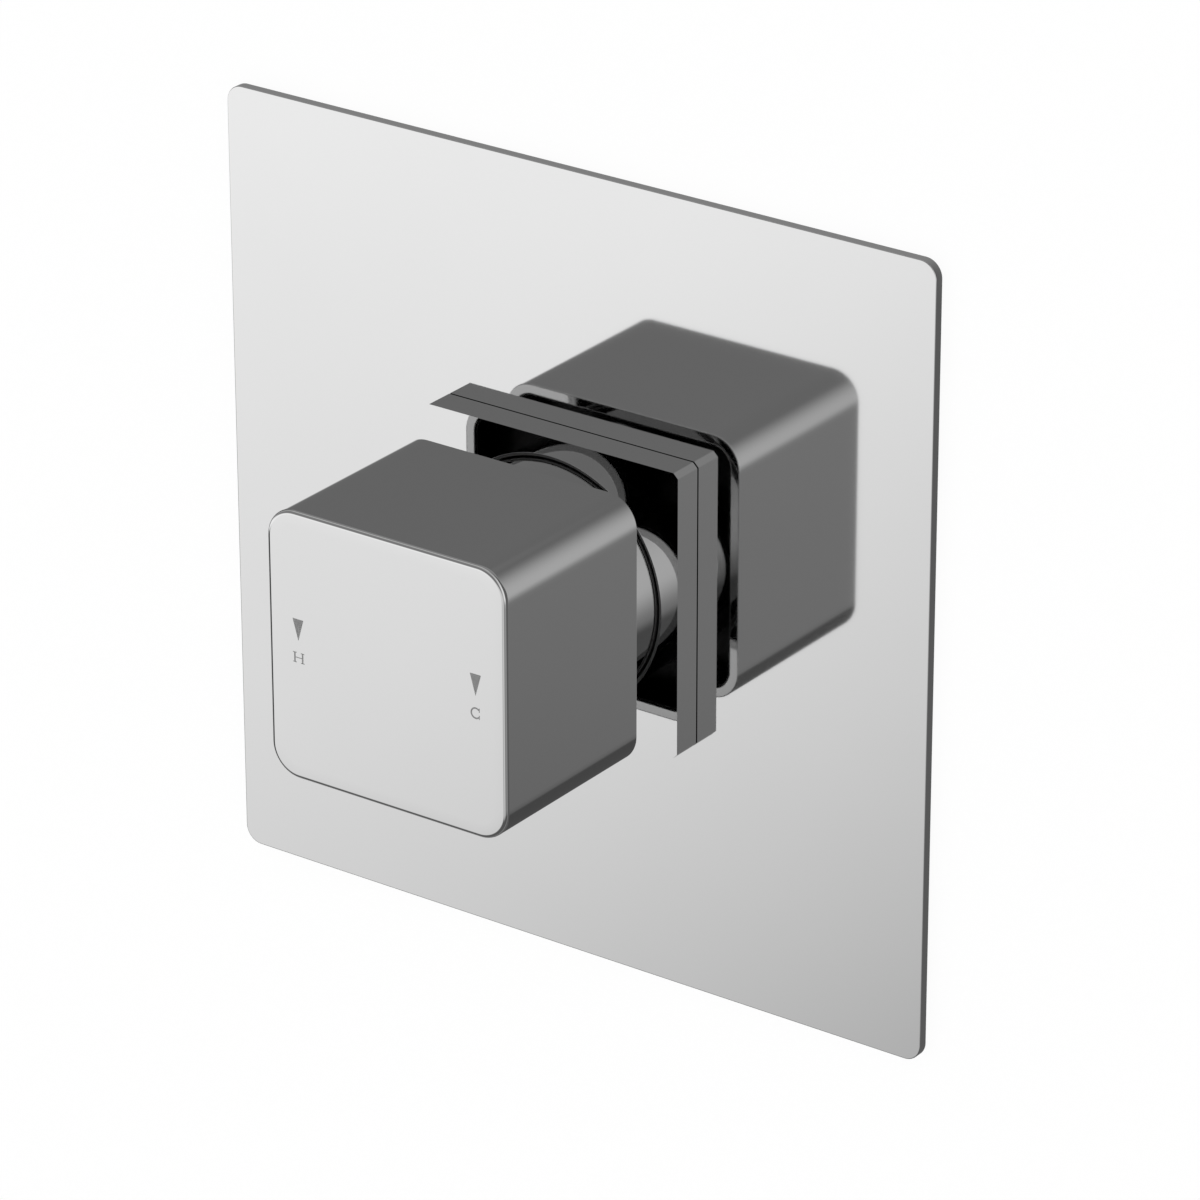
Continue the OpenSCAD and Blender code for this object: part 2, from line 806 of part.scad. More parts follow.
module lever_nut() {
    color("goldenrod") difference() {
        rod(lever_floor - lever_nut_t, lever_floor, sleeve_thread_r + lever_nut_w);
        rod(lever_floor - lever_nut_t - cut, lever_floor + cut, sleeve_thread_r + fit);
        for (turn = [0, 90]) rotate([0, turn, 0])
            translate([-sleeve_thread_r - lever_nut_w - cut, lever_floor - lever_nut_t - cut,
                -nut_slot_w / 2])
                cube([2 * (sleeve_thread_r + lever_nut_w + cut), nut_slot_depth, nut_slot_w]);
    }
}

module flow_sleeve() {
    color("darkgoldenrod") difference() {
        union() {
            rod(sleeve_front, lever_back + cut, sleeve_thread_r);
            rod(lever_back, moving_front, sleeve_r);
            rod(sleeve_flange_front, moving_front, disc_r);
            for (z = [-1, 1]) translate([0, 0, z * (disc_r - drive_lug_w)])
                rod(moving_front - cut, moving_front + drive_lug_l, drive_lug_w / 2);
        }
        rod(sleeve_front - cut, moving_front + cut, spindle_r + fit);
        rod(sleeve_front + sleeve_land_l, moving_front - sleeve_land_l, sleeve_bore_r);
    }
}

module moving_disc() {
    color("white") difference() {
        slab(moving_front, moving_front + disc_t) difference() {
            circle(r = disc_r);
            circle(r = disc_bore_r);
            disc_ports([0, 180]);
        }
        for (z = [-1, 1]) translate([0, 0, z * (disc_r - drive_lug_w)])
            rod(moving_front - cut, moving_front + drive_lug_l + fit, drive_lug_w / 2 + fit);
    }
}

// Temperature control
module knob_body() {
    color("silver") difference() {
        slab(face_back, knob_back) rounded_square(knob_w, knob_corner_r);
        slab(face_back - cut, cover_back) rounded_square(cover_well_w, cover_well_r);
        slab(web_back, knob_back + cut) rounded_square(knob_inner_w, knob_inner_r);
        rod(cover_back - cut, web_back + cut, screw_access_r);
    }
}

module knob_insert() {
    outer_w = knob_inner_w - 2 * insert_room;
    outer_r = knob_inner_r - insert_room;
    cavity_front = web_back + insert_floor_t;
    color([0.03, 0.03, 0.03]) difference() {
        union() {
            difference() {
                slab(web_back, insert_back) rounded_square(outer_w, outer_r);
                slab(cavity_front, insert_back - insert_floor_t)
                    rounded_square(outer_w - 2 * insert_wall, outer_r - insert_wall);
            }
            rod(cavity_front - cut, boss_back, boss_r);
            slab(insert_back - cut, knob_back - skirt_setback) difference() {
                rounded_square(outer_w, outer_r);
                rounded_square(outer_w - 2 * insert_skirt_t, outer_r - insert_skirt_t);
            }
        }
        rod(neck_front - insert_room, insert_back + cut, neck_r + fit);
        rod(adaptor_front, boss_back + cut, adaptor_r + fit);
        rod(web_back - cut, adaptor_front + cut, screw_r + fit);
    }
}

module triangle_mark(x) {
    polygon([[x - triangle_w / 2, triangle_top], [x + triangle_w / 2, triangle_top],
        [x, triangle_top - triangle_h]]);
}

module letter_h_mark(x) {
    top = triangle_top - triangle_h - letter_gap;
    translate([x, top - letter_h / 2]) {
        for (side = [-1, 1]) translate([side * (letter_h - stroke_w) / 2, 0]) {
            square([stroke_w, letter_h], center = true);
            for (end = [-1, 1]) translate([0, end * (letter_h - serif_w) / 2])
                square([serif_l, serif_w], center = true);
        }
        square([letter_h - stroke_w, serif_w], center = true);
    }
}

module letter_c_mark(x) {
    top = triangle_top - triangle_h - letter_gap;
    mouth_angle = 42;
    outer_r = letter_h / 2 + stroke_w / 3;
    end_r = outer_r - serif_w / 2;
    translate([x, top - letter_h / 2]) {
        difference() {
            circle(r = outer_r);
            circle(r = outer_r - stroke_w);
            wedge(0, mouth_angle, letter_h);
        }
        for (end = [-1, 1])
            translate([end_r * cos(mouth_angle), end * end_r * sin(mouth_angle)])
                square([serif_w, serif_l], center = true);
    }
}

module marks_outline() {
    triangle_mark(-mark_x);
    letter_h_mark(-mark_x);
    triangle_mark(mark_x);
    letter_c_mark(mark_x);
}

module knob_face() {
    color("whitesmoke") difference() {
        union() {
            slab(knob_front, face_back) rounded_square(knob_w, knob_corner_r);
            slab(face_back - face_t / 2, cover_back)
                rounded_square(cover_well_w - 2 * fit, cover_well_r - fit);
        }
        rod(face_back, cover_back + cut, screw_access_r);
        slab(knob_front - cut, knob_front + mark_depth) marks_outline();
    }
}

module face_marks() {
    color("gray") slab(knob_front, knob_front + mark_depth) marks_outline();
}

module neck_sleeve() {
    color("silver") ring(neck_front, neck_back, neck_r, neck_bore_r);
}

module spindle_adaptor() {
    color("white") ring(adaptor_front, adaptor_front + adaptor_l, adaptor_r, spindle_r);
}

module knob_screw() {
    color("gray") difference() {
        union() {
            rod(web_back - screw_head_t, web_back, screw_head_r);
            rod(web_back - cut, spindle_front + screw_l, screw_r);
        }
        translate([0, web_back - screw_head_t - cut, 0]) rotate([-90, 0, 0])
            cylinder(h = screw_head_t, r = screw_r, $fn = 6);
    }
}

module temperature_spindle() {
    color("goldenrod") difference() {
        union() {
            rod(spindle_front, bell_front + cut, spindle_r);
            rod(bell_front, bell_back, bell_r);
            slab(bell_front, bell_front + stop_lug_l)
                ring_part(90, stop_angle / 2, stop_lug_r, bell_r - cut);
        }
        rod(bell_front + bell_web_t, bell_back + cut, bell_bore_r);
        rod(spindle_front - cut, spindle_front + screw_l + cut, screw_r + fit);
        for (y = spindle_oring_places)
            ring(y - small_oring_r - groove_room, y + small_oring_r + groove_room,
                spindle_r + cut, sleeve_bore_r - fit - 2 * small_oring_r);
    }
}

module spindle_o_rings() {
    color("black") for (y = spindle_oring_places)
        o_ring(y, sleeve_bore_r - fit - small_oring_r, small_oring_r);
}

// Adjusting nut and what it pushes
module adjusting_nut() {
    color("darkgoldenrod") difference() {
        union() {
            rod(adjust_nut_front, adjust_nut_back, bell_bore_r - fit);
            slab(adjust_nut_back - cut, stem_back) square(stem_w, center = true);
        }
        rod(stem_bore_front, stem_back + cut, stem_bore_r);
    }
}

module overload_spring() {
    wire_r = 0.45;
    turns = 5;
    color("silver") translate([0, stem_bore_front, 0]) rotate([-90, 0, 0])
        coil(overload_l, stem_bore_r - spring_room - wire_r, wire_r, turns);
}

module spring_cap() {
    front = stem_bore_front + overload_l;
    color("gray") rod(front, front + cap_t, stem_bore_r - fit);
}

module wax_piston() {
    front = stem_bore_front + overload_l + cap_t;
    tip = shuttle_web_front - element_floor_t - piston_tip_gap;
    color("silver") rod(front, tip, piston_r);
}

// Wax element and shuttle
module wax_element() {
    flange_front = shuttle_web_front - element_flange_t;
    color("peru") difference() {
        union() {
            rod(element_front, shuttle_web_front, element_neck_r);
            rod(flange_front, shuttle_web_front, element_flange_r);
            rod(shuttle_web_front - cut, base_front - base_spigot_l - capsule_gap, capsule_r);
        }
        rod(element_front - cut, shuttle_web_front - element_floor_t, piston_r + fit);
    }
}

module shuttle() {
    flow_hole_r = 1.8;
    flow_hole_count = 8;
    flow_hole_place = (element_flange_r + chamber_r - shuttle_wall) / 2;
    color("lightgray") difference() {
        rod(shuttle_front, shuttle_back, chamber_r - fit);
        rod(shuttle_front - cut, shuttle_web_front, chamber_r - shuttle_wall);
        rod(shuttle_web_front + shuttle_web_t, shuttle_back + cut, chamber_r - shuttle_wall);
        rod(shuttle_front, shuttle_back, capsule_r + fit);
        for (i = [1 : flow_hole_count]) rotate([0, 360 * i / flow_hole_count, 0])
            translate([flow_hole_place, 0, 0]) rod(shuttle_front, shuttle_back, flow_hole_r);
        ring(shuttle_centre - small_oring_r - groove_room,
            shuttle_centre + small_oring_r + groove_room, chamber_r + cut,
            chamber_r - 2 * fit - 2 * small_oring_r);
    }
}

module shuttle_seal() {
    color("black") o_ring(shuttle_centre, chamber_r - fit - small_oring_r, small_oring_r);
}

wall_plate();
plate_seal();
plate_grip_ring();
shroud_sleeve();
valve_body();
mounting_bracket();
bracket_screws();
outlet_plug();
plug_washer();
cartridge_nut();
cartridge_head();
cartridge_body();
cartridge_base();
cartridge_o_rings();
fixed_disc();
disc_gasket();
thrust_washer();
return_spring();
hot_check_housing();
cold_check_housing();
hot_filter();
cold_filter();
hot_check_poppet();
cold_check_poppet();
hot_check_spring();
cold_check_spring();
flow_lever_plate();
glide_disc();
neck_wiper_ring();
lever_nut();
flow_sleeve();
moving_disc();
knob_body();
knob_insert();
knob_face();
face_marks();
neck_sleeve();
spindle_adaptor();
knob_screw();
temperature_spindle();
spindle_o_rings();
adjusting_nut();
overload_spring();
spring_cap();
wax_piston();
wax_element();
shuttle();
shuttle_seal();
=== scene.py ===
# Concealed thermostatic shower valve. The brass body stands in the wall; the chrome wall
# plate, lever plate and cube knob stand in front of it. +Z is up, the user on the -Y side.
import bmesh
import bpy
import numpy as np
from mathutils import Matrix


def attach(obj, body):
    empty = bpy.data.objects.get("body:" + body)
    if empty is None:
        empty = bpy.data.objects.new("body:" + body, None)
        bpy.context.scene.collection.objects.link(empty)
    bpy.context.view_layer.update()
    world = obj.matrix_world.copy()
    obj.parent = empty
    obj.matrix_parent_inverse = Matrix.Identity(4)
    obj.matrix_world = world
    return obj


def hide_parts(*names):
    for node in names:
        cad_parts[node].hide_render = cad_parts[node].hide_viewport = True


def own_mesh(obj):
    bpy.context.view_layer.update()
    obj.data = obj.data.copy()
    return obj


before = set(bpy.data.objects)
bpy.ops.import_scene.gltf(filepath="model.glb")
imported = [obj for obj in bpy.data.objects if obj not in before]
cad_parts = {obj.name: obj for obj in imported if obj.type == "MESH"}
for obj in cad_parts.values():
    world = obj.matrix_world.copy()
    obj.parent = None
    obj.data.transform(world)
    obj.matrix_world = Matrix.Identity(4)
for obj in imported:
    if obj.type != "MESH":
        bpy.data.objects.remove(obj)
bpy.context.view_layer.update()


# Brass body
# One sand casting: a barrel for the cartridge and four arms with turned and tapped ends.
# The cast skin is bead blasted and dull; hexagons, faces and threads are cut bright.
class Wire:
    """A value on its way between shader nodes. + - * with a number or another Wire add the
    Math node of that name, also with the number on the left."""

    def __init__(self, recipe, socket):
        self.recipe, self.socket = recipe, socket

    def math(self, operation, *values):
        return self.recipe.node(
            "ShaderNodeMath", {"operation": operation}, dict(enumerate(values)))

    def __add__(self, other):
        return self.math("ADD", self, other)

    def __sub__(self, other):
        return self.math("SUBTRACT", self, other)

    def __mul__(self, other):
        return self.math("MULTIPLY", self, other)

    def __rsub__(self, other):
        return self.math("SUBTRACT", other, self)

    __radd__, __rmul__ = __add__, __mul__

    def at_most(self, top):
        return self.math("MINIMUM", self, top)

    def rise(self, low, high):
        """0 below low, 1 above high, and a soft S between them."""
        return self.recipe.node("ShaderNodeMapRange", {"interpolation_type": "SMOOTHSTEP"},
                                {0: self, 1: low, 2: high})


class Recipe:
    """The nodes of one material, or of the room."""

    def __init__(self, owner):
        owner.use_nodes = True
        self.owner, self.tree = owner, owner.node_tree
        self.tree.nodes.clear()

    def node(self, kind, settings=None, inputs=None, output=0):
        """One node: its settings first, then a value or Wire for each input."""
        made = self.tree.nodes.new(kind)
        for key, value in (settings or {}).items():
            setattr(made, key, value)
        for key, value in (inputs or {}).items():
            socket = made.inputs[key]
            if isinstance(value, Wire):
                self.tree.links.new(value.socket, socket)
            elif socket.type == "RGBA":
                socket.default_value = (*value, 1)
            else:
                socket.default_value = value
        return Wire(self, made.outputs[output] if made.outputs else None)

    def ray(self, kind):
        """1 for rays of that kind, such as Is Camera Ray, and 0 for others."""
        return self.node("ShaderNodeLightPath", None, None, kind)

    def axes(self, vector):
        """The three coordinates of a vector."""
        outputs = self.node("ShaderNodeSeparateXYZ", None, {0: vector}).socket.node.outputs
        return [Wire(self, outputs[i]) for i in range(3)]

    def place(self):
        """The point on the piece in its own axes, in metres."""
        return self.node("ShaderNodeTexCoord", None, None, "Object")

    def grain(self, size, detail=3.0):
        """Noise from 0 to 1 with grains of about that size in millimetres."""
        return self.node("ShaderNodeTexNoise", None, {
            "Vector": self.place(), "Scale": 1000 / size, "Detail": detail})

    def blend(self, share, first, second):
        """first where share is 0 and second where it is 1; both are colours."""
        return self.node("ShaderNodeMix", {"data_type": "RGBA"},
                         {0: share, 6: first, 7: second}, 2)

    def bump(self, height, depth):
        """The normal of a relief: height from 0 to 1 stands depth millimetres high."""
        return self.node("ShaderNodeBump", None, {"Height": height, "Distance": depth / 1000})

    def skin(self, **inputs):
        """The closing shader with those inputs, an underscore standing for a space."""
        shader = self.node("ShaderNodeBsdfPrincipled", None,
                           {key.replace("_", " "): value for key, value in inputs.items()})
        self.node("ShaderNodeOutputMaterial", None, {"Surface": shader})
        return self.owner


def material(name):
    """The recipe of a new material."""
    return Recipe(bpy.data.materials.new(name))


def eased(corners, setbacks, steps=6):
    """Corners of an outline swapped for short parabolas: weights (1-t)^2, 2t(1-t) and t^2
    on the point before, the corner and the point after. A corner with no setback stays."""
    corners = np.array(corners, float)
    setbacks = np.broadcast_to(np.array(setbacks, float), len(corners))[:, None]
    behind, ahead = np.roll(corners, 1, 0) - corners, np.roll(corners, -1, 0) - corners
    start = corners + setbacks * behind / np.linalg.norm(behind, axis=1, keepdims=True)
    end = corners + setbacks * ahead / np.linalg.norm(ahead, axis=1, keepdims=True)
    t = np.linspace(0, 1, steps + 1)[None, :, None]
    path = ((1 - t) ** 2 * start[:, None] + 2 * t * (1 - t) * corners[:, None]
            + t ** 2 * end[:, None]).reshape(-1, 2)
    return path[np.linalg.norm(path - np.roll(path, 1, 0), axis=1) > 1e-6]


def joined(rings, capped=False):
    """Points and faces of rows of points, (rows, count, 3). Each row closes on itself, and
    neighbouring rows are joined. The last row joins the first, or both get flat caps."""
    rows, count = rings.shape[:2]
    row = np.arange(rows - capped)[:, None] * count
    after = (row + count) % (rows * count)
    here = np.arange(count)[None, :]
    following = (here + 1) % count
    faces = np.stack([row + here, row + following, after + following, after + here], -1)
    faces = faces.reshape(-1, 4).tolist()
    if capped:
        faces += [list(range(count)), list(range((rows - 1) * count, rows * count))]
    return rings.reshape(-1, 3), faces


def turned(corners, setbacks, capped=False, count=160):
    """An outline of (y, r) corners carried round the Y axis: x = r cos a, z = r sin a."""
    y, r = eased(corners, setbacks).T[:, :, None]
    a = np.linspace(0, 2 * np.pi, count, endpoint=False)
    return joined(np.stack([r * np.cos(a), y + 0 * a, r * np.sin(a)], -1), capped)


def piece(name, shapes, finish, body, slot_name, *replaced):
    """A mesh object from shapes in millimetres. Edges over 35 degrees stay sharp, and the
    normals beside a small rounding lean to the larger face, so flat faces mirror flat."""
    starts = np.cumsum([0] + [len(points) for points, _ in shapes])
    mesh = bpy.data.meshes.new(name)
    mesh.from_pydata((np.concatenate([points for points, _ in shapes]) / 1000).tolist(), [],
                     [[corner + start for corner in face]
                      for start, (_, faces) in zip(starts, shapes) for face in faces])
    return dressed(name, mesh, finish, body, slot_name, *replaced)


def dressed(name, mesh, finish, body, slot_name, *replaced):
    """The object of a closed mesh, with its normals turned outwards, its material and its
    body, standing for the CAD nodes it replaces."""
    work = bmesh.new()
    work.from_mesh(mesh)
    bmesh.ops.recalc_face_normals(work, faces=work.faces)
    work.to_mesh(mesh)
    work.free()
    mesh.shade_smooth()
    mesh.set_sharp_from_angle(angle=np.radians(35))
    mesh.materials.clear()
    mesh.materials.append(finish)
    made = bpy.data.objects.new(name, mesh)
    bpy.context.scene.collection.objects.link(made)
    lean = made.modifiers.new("lean", "WEIGHTED_NORMAL")
    lean.keep_sharp = True
    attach(made, body)
    if replaced:
        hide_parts(*replaced)
    return made


blasted = material("bead_blasted_brass")
pits, clouds = blasted.grain(0.35, 4.0), blasted.grain(14.0)
blasted_brass = blasted.skin(
    Base_Color=blasted.blend(clouds.rise(0.35, 0.65), (0.50, 0.36, 0.15), (0.62, 0.46, 0.21)),
    Roughness=pits * 0.25 + 0.38, Metallic=1.0, Normal=blasted.bump(pits, 0.06))

cut = material("machined_brass")
feed_marks, tarnish = cut.grain(0.12, 1.0), cut.grain(9.0)
machined_brass = cut.skin(
    Base_Color=cut.blend(tarnish.rise(0.3, 0.7), (0.76, 0.58, 0.27), (0.86, 0.68, 0.34)),
    Roughness=tarnish * 0.12 + 0.16, Metallic=1.0, Normal=cut.bump(feed_marks, 0.004))

barrel_front, barrel_back, barrel_r = 12, 75, 29
mouth_front, mouth_outer_r, mouth_inner_r = 4, 23, 19.05
chamber_front, chamber_back, chamber_r = 12.05, 69.05, 17.55
cap_r = 8
barrel = turned(
    [(barrel_back, cap_r), (barrel_back, barrel_r), (barrel_front, barrel_r),
     (barrel_front, mouth_outer_r), (mouth_front, mouth_outer_r),
     (mouth_front, mouth_inner_r), (chamber_front, mouth_inner_r),
     (chamber_front, chamber_r), (chamber_back, chamber_r), (chamber_back, cap_r)],
    [0, 1.6, 1.4, 1.0, 0.4, 0.3, 0.1, 0.1, 0.2, 0], capped=True)

arm_y, arm_r, root_r = 51, 15, 3
inlet_reach, outlet_reach = 58, 52
hexagon_l = 10
angles = np.linspace(0, 2 * np.pi, 96, endpoint=False)


def arm(place, s, r):
    """One arm of the body: at distance s along the arm and at the angle a round it, the
    point stands r cos a across the arm in the wall's plane and r sin a along Y. place puts
    (along, across) into (x, z)."""
    s, r = np.broadcast_arrays(s, r)
    along_x, across_x, along_z, across_z = place
    across = r * np.cos(angles)
    return joined(np.stack([along_x * s + across_x * across, arm_y + r * np.sin(angles),
                            along_z * s + across_z * across], -1), capped=True)


def stem(reach):
    """s and r of an arm's cast part: a quarter-round root that leaves the barrel's surface,
    s = sqrt(R^2 - (r cos a)^2) there, and then a plain cylinder to the hexagon. Both ends
    close out of sight, inside the barrel and inside the hexagon."""
    hidden_s, hidden_r = 20, 12
    s_end = reach - hexagon_l
    turn = np.linspace(0, np.pi / 2, 10)[:, None]
    r = arm_r + root_r * (1 - np.sin(turn)) + 0 * angles
    s = np.sqrt(barrel_r ** 2 - (r * np.cos(angles)) ** 2) + root_r * (1 - np.cos(turn))
    flat = np.zeros((1, len(angles)))
    return (np.concatenate([flat + hidden_s, s[:1] - 1, s, flat + s_end, flat + s_end]),
            np.concatenate([flat + hidden_r, r[:1], r, flat + arm_r, flat + hidden_r]))


def tapped_end(end, floor, pocket_r, pocket_top):
    """s and r of an arm's turned end, from its hexagon inwards. The hexagon's radius is
    apothem / cos(angle from a flat's middle), cut down by a 30 degree chamfer. The thread
    is a helix of V grooves: its phase is s / pitch less the share of a turn, and a sixth
    of the pitch is flat at the crest and at the root."""
    apothem, hidden_r = 14.98, 13
    back_chamfer_r, front_chamfer_r, chamfer_slope = 15.5, 15.9, 1.6
    chamfer_s = np.array([0, 0.4, 0.8, 1.2])
    hexagon = apothem / np.cos(angles % (np.pi / 3) - np.pi / 6)
    back = end - hexagon_l
    s = np.concatenate([[back], back + chamfer_s, [back + hexagon_l / 2],
                        end - chamfer_s[::-1]])[:, None] + 0 * angles
    limit = np.minimum(back_chamfer_r + (s - back) * chamfer_slope,
                       front_chamfer_r + (end - s) * chamfer_slope)
    r = np.clip(np.minimum(hexagon, limit), arm_r - 0.02, None)
    r[0] = hidden_r
    pitch, thread_r, thread_h = 1.814, 9.3, 1.1
    countersink = 0.9
    helix = np.arange(end - countersink, pocket_top, -pitch / 10)[:, None] + 0 * angles
    phase = (helix / pitch - angles / (2 * np.pi)) % 1
    groove = np.clip(1.5 * np.abs(2 * phase - 1) - 0.25, 0, 1)
    fade = np.clip((helix - pocket_top) / pitch, 0, 1)
    mouth = np.array([end, end - countersink])[:, None] + 0 * angles
    mouth_r = np.array([thread_r + thread_h + 0.3, thread_r + 0.1])[:, None] + 0 * angles
    inner = np.array([pocket_top, pocket_top, floor])[:, None] + 0 * angles
    inner_r = np.array([thread_r, pocket_r, pocket_r])[:, None] + 0 * angles
    return (np.concatenate([s, mouth, helix, inner]),
            np.concatenate([r, mouth_r, thread_r + thread_h * groove * fade, inner_r]))


right, left, up, down = (1, 0, 0, 1), (-1, 0, 0, 1), (0, 1, 1, 0), (0, 1, -1, 0)
inlet_stem, outlet_stem = stem(inlet_reach), stem(outlet_reach)
inlet_end = tapped_end(inlet_reach, floor=29, pocket_r=9.0, pocket_top=43)
outlet_end = tapped_end(outlet_reach, floor=24, pocket_r=9.3, pocket_top=34)
piece("body_casting",
      [barrel, arm(right, *inlet_stem), arm(left, *inlet_stem), arm(up, *outlet_stem),
       arm(down, *outlet_stem)],
      blasted_brass, "root", "cast_brass", "valve_body")
piece("body_ends",
      [arm(right, *inlet_end), arm(left, *inlet_end), arm(up, *outlet_end),
       arm(down, *outlet_end)],
      machined_brass, "root", "cast_brass", "valve_body")


# Bracket, its screws, the outlet plug and its washer
# Pressed steel bracket, bright zinc plated, held by two socket screws. A turned brass plug
# with a red fibre washer closes the lower outlet.
def softened(name, node, edge, finish, slot_name):
    """A copy of a CAD node with its doubles joined and its flat faces merged, and a small
    round of edge millimetres on each sharp edge."""
    mesh = bpy.data.meshes.new(name)
    work = bmesh.new()
    work.from_mesh(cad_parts[node].data)
    bmesh.ops.remove_doubles(work, verts=work.verts, dist=1e-6)
    bmesh.ops.dissolve_limit(work, angle_limit=np.radians(0.3), verts=work.verts,
                             edges=work.edges)
    work.to_mesh(mesh)
    work.free()
    if "custom_normal" in mesh.attributes:
        mesh.attributes.remove(mesh.attributes["custom_normal"])
    made = dressed(name, mesh, finish, "root", slot_name, node)
    soft = made.modifiers.new("edges", "BEVEL")
    soft.width, soft.segments = edge / 1000, 3
    soft.limit_method, soft.angle_limit = "ANGLE", np.radians(35)
    # The rounds are made first, so that the leaning normals take them in
    made.modifiers.move(1, 0)
    return made


def dress_node(finish, *nodes):
    """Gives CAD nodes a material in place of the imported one."""
    for name in nodes:
        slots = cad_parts[name].data.materials
        slots.clear()
        slots.append(finish)


def moulded(name, dark, light, gloss, grain_size=0.4):
    """Moulded plastic, fibre or rubber: two shades in broad clouds and a fine grain."""
    recipe = material(name)
    flow, fine = recipe.grain(18.0), recipe.grain(grain_size, 2.0)
    return recipe.skin(Base_Color=recipe.blend(flow, dark, light),
                       Roughness=fine * 0.12 + gloss, Normal=recipe.bump(fine, 0.008))


plated = material("bright_zinc")
spangle, film = plated.grain(5.0), plated.grain(0.3, 2.0)
zinc = plated.skin(
    Base_Color=plated.blend(spangle.rise(0.35, 0.65), (0.50, 0.52, 0.55), (0.64, 0.65, 0.66)),
    Roughness=spangle * 0.2 + 0.22, Metallic=1.0, Normal=plated.bump(film, 0.006))
softened("bracket_plate", "mounting_bracket", 0.35, zinc, "zinc_steel")
softened("bracket_screw_pair", "bracket_screws", 0.25, zinc, "zinc_steel")
softened("plug_turning", "outlet_plug", 0.4, machined_brass, "turned_brass")
dress_node(moulded("red_fibre", (0.34, 0.08, 0.05), (0.46, 0.12, 0.08), 0.75, 0.2),
           "plug_washer")


# Parts inside the body, the cartridge and the knob
# The cartridge's mouldings, ceramic discs, wax element and springs, the check valves and
# filters, and the turned spindle and nuts. They keep their CAD shapes, and only the
# filters' sheets show from outside, at the bottom of the inlets.
def metal(name, dark, light, gloss, depth=0.004):
    """Drawn or turned metal: two shades in clouds and fine drawing marks."""
    recipe = material(name)
    flow, fine = recipe.grain(6.0), recipe.grain(0.15, 1.0)
    return recipe.skin(Base_Color=recipe.blend(flow, dark, light), Metallic=1.0,
                       Roughness=flow * 0.15 + gloss, Normal=recipe.bump(fine, depth))


rubber = moulded("black_rubber", (0.016, 0.016, 0.016), (0.030, 0.030, 0.030), 0.62)
dress_node(rubber, "cartridge_o_rings", "spindle_o_rings", "shuttle_seal", "disc_gasket")
dress_node(moulded("cartridge_polymer", (0.74, 0.70, 0.56), (0.82, 0.78, 0.64), 0.38),
           "cartridge_head", "cartridge_body", "cartridge_base")
white_moulding = moulded("white_moulding", (0.80, 0.80, 0.78), (0.88, 0.88, 0.86), 0.32)
dress_node(white_moulding, "thrust_washer", "hot_check_housing", "cold_check_housing",
           "spindle_adaptor")
dress_node(moulded("lapped_ceramic", (0.84, 0.83, 0.79), (0.90, 0.89, 0.85), 0.12),
           "fixed_disc", "moving_disc")
dress_node(moulded("red_moulding", (0.48, 0.05, 0.04), (0.58, 0.07, 0.05), 0.3),
           "hot_check_poppet")
dress_node(moulded("blue_moulding", (0.05, 0.14, 0.44), (0.07, 0.18, 0.54), 0.3),
           "cold_check_poppet")
steel_wire = metal("spring_wire", (0.50, 0.50, 0.50), (0.62, 0.62, 0.61), 0.22)
dress_node(steel_wire, "return_spring", "overload_spring", "spring_cap", "wax_piston")
dress_node(metal("etched_sheet", (0.50, 0.50, 0.49), (0.66, 0.66, 0.65), 0.30, 0.01),
           "hot_filter", "cold_filter")
dress_node(metal("turned_stainless", (0.60, 0.60, 0.60), (0.70, 0.70, 0.70), 0.18), "shuttle")
dress_node(metal("drawn_copper", (0.66, 0.36, 0.24), (0.76, 0.44, 0.28), 0.25), "wax_element")
dress_node(machined_brass, "cartridge_nut", "lever_nut", "flow_sleeve", "adjusting_nut",
           "temperature_spindle")
dress_node(zinc, "knob_screw")


# Check valve springs
# Open coils of round stainless wire between each housing's spider and its poppet. They
# stand against the spider.
spider_x, poppet_x, opening = 33.05, 36.85, 2.5


def check_spring(side):
    """A helix round the X axis of an arm: at the angle a the wire's middle has gone the
    share a / (2 pi turns) of the way to the poppet, R from the axis, and the wire is a
    circle round it."""
    coil_r, wire_r, turns = 2.6, 0.25, 4
    a = np.linspace(0, 2 * np.pi * turns, 24 * turns + 1)[:, None]
    b = np.linspace(0, 2 * np.pi, 12, endpoint=False)
    way = np.linspace(spider_x + wire_r, poppet_x - wire_r, len(a))[:, None]
    r = coil_r + wire_r * np.cos(b)
    return joined(np.stack([side * (way + wire_r * np.sin(b)), arm_y + r * np.cos(a),
                            r * np.sin(a)], -1), capped=True)


for water, side in (("hot", -1), ("cold", 1)):
    coil = piece(f"{water}_spring_wire", [check_spring(side)], steel_wire, "root",
                 "spring_steel", f"{water}_check_spring")
    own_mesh(coil)


# Shroud, grip ring and foam seal
# A nickel plated sleeve stands over the cartridge nut. A rubber ring on it grips the wall
# plate, and a foam strip seals the plate to the tiles.
shroud_front, shroud_step, shroud_web, shroud_back = -3.4, 1.05, 3.95, 11
tube_outer_r, tube_inner_r, skirt_outer_r, skirt_inner_r = 21, 19.4, 25.45, 23.05
nickel = metal("plain_nickel", (0.52, 0.50, 0.46), (0.62, 0.60, 0.56), 0.16)
piece("shroud_turning",
      [turned([(shroud_front, tube_outer_r), (shroud_step, tube_outer_r),
               (shroud_step, skirt_outer_r), (shroud_back, skirt_outer_r),
               (shroud_back, skirt_inner_r), (shroud_web, skirt_inner_r),
               (shroud_web, tube_inner_r), (shroud_front, tube_inner_r)],
              [0.3, 0.5, 0.8, 0.6, 0.2, 0.1, 0.2, 0.3])],
      nickel, "root", "dull_nickel", "shroud_sleeve")

